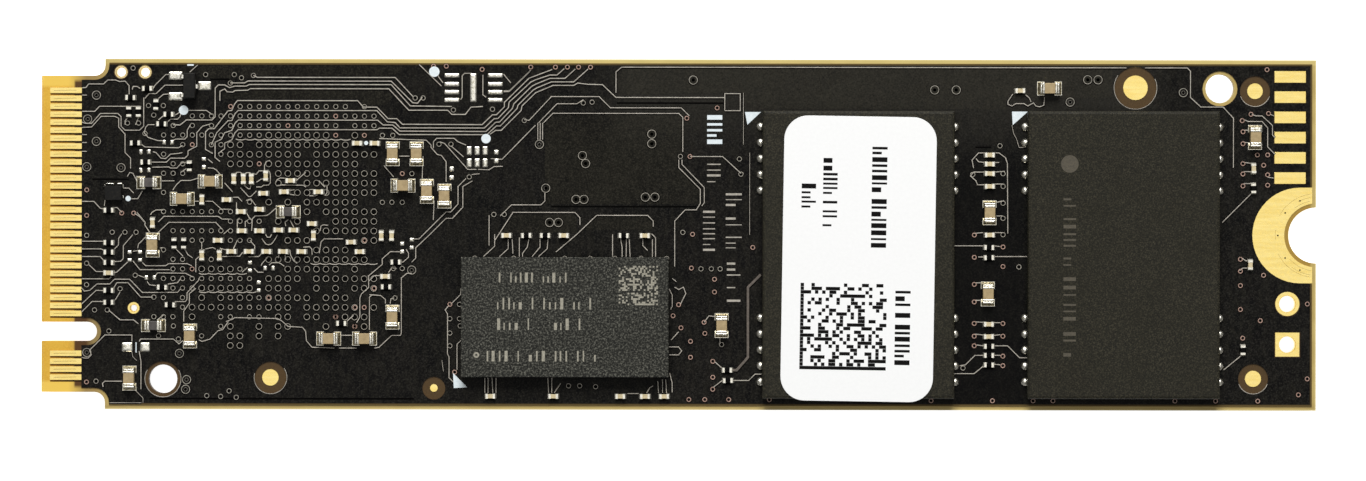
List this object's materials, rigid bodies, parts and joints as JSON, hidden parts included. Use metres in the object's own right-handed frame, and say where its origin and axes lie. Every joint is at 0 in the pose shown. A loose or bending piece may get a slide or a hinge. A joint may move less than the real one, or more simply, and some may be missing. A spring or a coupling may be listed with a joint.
{
  "type": "solid state drive",
  "caption": "Double-sided M.2 2280 solid state drive card with an M-key edge connector, memory packages, passives and a half-round mounting notch.",
  "frame": {"origin": "middle of the edge connector's leading edge, halfway through the board's thickness", "axes": "+X along the card from the connector to the mounting notch, +Z out of the labelled side, +Y across the card so that the key slot lies on the -Y side"},
  "size_m": [0.08, 0.022, 0.0032],
  "materials": {
    "laminate": "glass-epoxy laminate, amber, bare at the card's rim and between the contacts",
    "copper": "copper foil, matt, hidden under the solder mask",
    "gold": "gold plating on copper foil, satin",
    "solder_mask": "black solder mask, satin",
    "mould_epoxy": "filled black moulding compound, finely speckled, matt",
    "silicon": "ground silicon, dark",
    "substrate": "package substrate, dark green-black",
    "label_paper": "white label, smooth",
    "ceramic": "beige capacitor ceramic with tinned ends",
    "ferrite": "dark grey ferrite with tinned ends",
    "crystal_steel": "plated lid, satin"
  },
  "bodies": {
    "root": {"circuit_board": "laminate", "copper_pour_front": "copper", "copper_pour_back": "copper", "mounting_pad_front": "gold", "mounting_pad_back": "gold", "solder_mask_front": "solder_mask", "solder_mask_back": "solder_mask", "edge_contacts_front_long": "gold", "edge_contacts_front_key": "gold", "edge_contacts_back_long": "gold", "edge_contacts_back_key": "gold", "label": "label_paper", "load_switch": "mould_epoxy", "transistor": "mould_epoxy", "power_manager": "mould_epoxy", "clock_crystal": "crystal_steel", "nand_front_left_mould": "mould_epoxy", "nand_front_left_dies": "silicon", "nand_front_left_substrate": "substrate", "nand_front_right_mould": "mould_epoxy", "nand_front_right_dies": "silicon", "nand_front_right_substrate": "substrate", "nand_back_left_mould": "mould_epoxy", "nand_back_left_dies": "silicon", "nand_back_left_substrate": "substrate", "nand_back_right_mould": "mould_epoxy", "nand_back_right_dies": "silicon", "nand_back_right_substrate": "substrate", "dram_front_mould": "mould_epoxy", "dram_front_dies": "silicon", "dram_front_substrate": "substrate", "dram_back_mould": "mould_epoxy", "dram_back_dies": "silicon", "dram_back_substrate": "substrate", "controller_mould": "mould_epoxy", "controller_dies": "silicon", "controller_substrate": "substrate", "capacitor_01": "ceramic", "capacitor_02": "ceramic", "capacitor_03": "ceramic", "capacitor_04": "ceramic", "capacitor_05": "ceramic", "capacitor_06": "ceramic", "capacitor_07": "ceramic", "capacitor_08": "ceramic", "capacitor_09": "ceramic", "capacitor_10": "ceramic", "capacitor_11": "ceramic", "capacitor_12": "ceramic", "capacitor_13": "ceramic", "capacitor_14": "ceramic", "capacitor_15": "ceramic", "capacitor_16": "ceramic", "capacitor_17": "ceramic", "capacitor_18": "ceramic", "ferrite_bead_1": "ferrite", "ferrite_bead_2": "ferrite", "ferrite_bead_3": "ferrite", "power_inductor_1": "ferrite", "power_inductor_2": "ferrite"}
  },
  "joints": []
}
